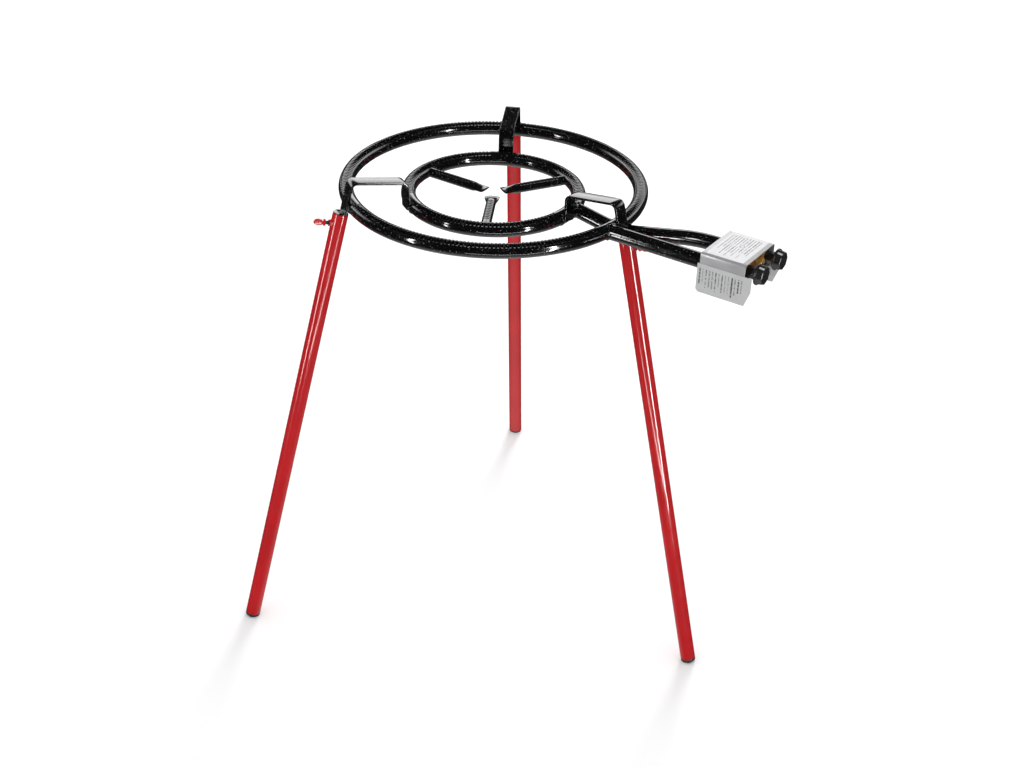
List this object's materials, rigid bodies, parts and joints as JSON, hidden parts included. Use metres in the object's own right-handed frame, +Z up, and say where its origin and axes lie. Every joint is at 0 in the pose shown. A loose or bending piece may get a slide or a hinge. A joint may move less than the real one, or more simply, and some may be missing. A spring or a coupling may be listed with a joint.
{
  "type": "two-ring gas burner on a tripod stand",
  "caption": "Round gas burner with concentric slotted tube rings, bar brackets for a pan, a handle with valves, and splayed legs that pull off their pegs.",
  "frame": {"origin": "floor level, under the middle of the whole burner", "axes": "+X out along the handle to the knobs, +Y to its left seen from above, +Z up"},
  "size_m": [0.7576, 0.7952, 0.8062],
  "materials": {
    "black_enamel": "gloss, fine pale specks",
    "red_paint": "gloss",
    "foot_rubber": "satin",
    "cover_sheet": "brushed satin",
    "plate_foil": "matt printed foil",
    "white_label": "satin film",
    "brass": "machined",
    "knob_plastic": "semi-gloss",
    "dark_steel": "blackened",
    "steel": "zinc plated"
  },
  "bodies": {
    "burner": {"cover_screws": "steel", "gas_manifold": "brass", "gland_nut_inner": "dark_steel", "gland_nut_outer": "dark_steel", "injector_inner": "brass", "injector_outer": "brass", "inner_ring": "black_enamel", "inner_supply_pipe": "black_enamel", "leg_peg_1": "black_enamel", "leg_peg_2": "black_enamel", "leg_peg_3": "black_enamel", "manifold_screws": "steel", "outer_ring": "black_enamel", "outer_supply_pipe": "black_enamel", "pan_bracket_1": "black_enamel", "pan_bracket_2": "black_enamel", "pan_bracket_3": "black_enamel", "ring_spoke_1": "black_enamel", "ring_spoke_2": "black_enamel", "ring_spoke_3": "black_enamel", "side_plate_inner": "plate_foil", "side_plate_outer": "plate_foil", "support_plate": "dark_steel", "top_label": "white_label", "valve_body_inner": "brass", "valve_body_outer": "brass", "valve_cover": "cover_sheet", "valve_spring_inner": "steel", "valve_spring_outer": "steel"},
    "leg_1": {"leg_tube_1": "red_paint", "foot_cap_1": "foot_rubber", "clamp_nut_1": "red_paint"},
    "clamp_1": {"thumb_screw_1": "red_paint"},
    "leg_2": {"leg_tube_2": "red_paint", "foot_cap_2": "foot_rubber", "clamp_nut_2": "red_paint"},
    "clamp_2": {"thumb_screw_2": "red_paint"},
    "leg_3": {"leg_tube_3": "red_paint", "foot_cap_3": "foot_rubber", "clamp_nut_3": "red_paint"},
    "clamp_3": {"thumb_screw_3": "red_paint"},
    "valve_outer": {"valve_plug_outer": "brass"},
    "control_outer": {"valve_spindle_outer": "steel", "knob_outer": "knob_plastic"},
    "valve_inner": {"valve_plug_inner": "brass"},
    "control_inner": {"valve_spindle_inner": "steel", "knob_inner": "knob_plastic"}
  },
  "joints": [
    {"name": "leg_1_slide", "type": "slide", "parent": "burner", "child": "leg_1", "axis": [0.2416, -0.0127, -0.9703], "range_m": [0, 0.045]},
    {"name": "clamp_1_turn", "type": "hinge", "parent": "leg_1", "child": "clamp_1", "pos_m": [0.15063, -0.02602, 0.73986], "axis": [0.969, -0.0508, 0.2419], "range_deg": [0, 720]},
    {"name": "leg_2_slide", "type": "slide", "parent": "burner", "child": "leg_2", "axis": [-0.1098, 0.2156, -0.9703], "range_m": [0, 0.045]},
    {"name": "clamp_2_turn", "type": "hinge", "parent": "leg_2", "child": "clamp_2", "pos_m": [-0.24842, 0.23312, 0.73986], "axis": [-0.4405, 0.8645, 0.2419], "range_deg": [0, 720]},
    {"name": "leg_3_slide", "type": "slide", "parent": "burner", "child": "leg_3", "axis": [-0.1318, -0.2029, -0.9703], "range_m": [0, 0.045]},
    {"name": "clamp_3_turn", "type": "hinge", "parent": "leg_3", "child": "clamp_3", "pos_m": [-0.27331, -0.24203, 0.73986], "axis": [-0.5285, -0.8138, 0.2419], "range_deg": [0, 720]},
    {"name": "valve_outer_turn", "type": "hinge", "parent": "burner", "child": "valve_outer", "pos_m": [0.3303, -0.04195, 0.7688], "axis": [1, 0, 0], "range_deg": [0, 180]},
    {"name": "valve_outer_push", "type": "slide", "parent": "valve_outer", "child": "control_outer", "axis": [-1, 0, 0], "range_m": [0, 0.0025], "stiffness_N_per_m": 1500, "deforming": ["valve_spring_outer"]},
    {"name": "valve_inner_turn", "type": "hinge", "parent": "burner", "child": "valve_inner", "pos_m": [0.3303, 0.01755, 0.7688], "axis": [1, 0, 0], "range_deg": [0, 180]},
    {"name": "valve_inner_push", "type": "slide", "parent": "valve_inner", "child": "control_inner", "axis": [-1, 0, 0], "range_m": [0, 0.0025], "stiffness_N_per_m": 1500, "deforming": ["valve_spring_inner"]}
  ]
}
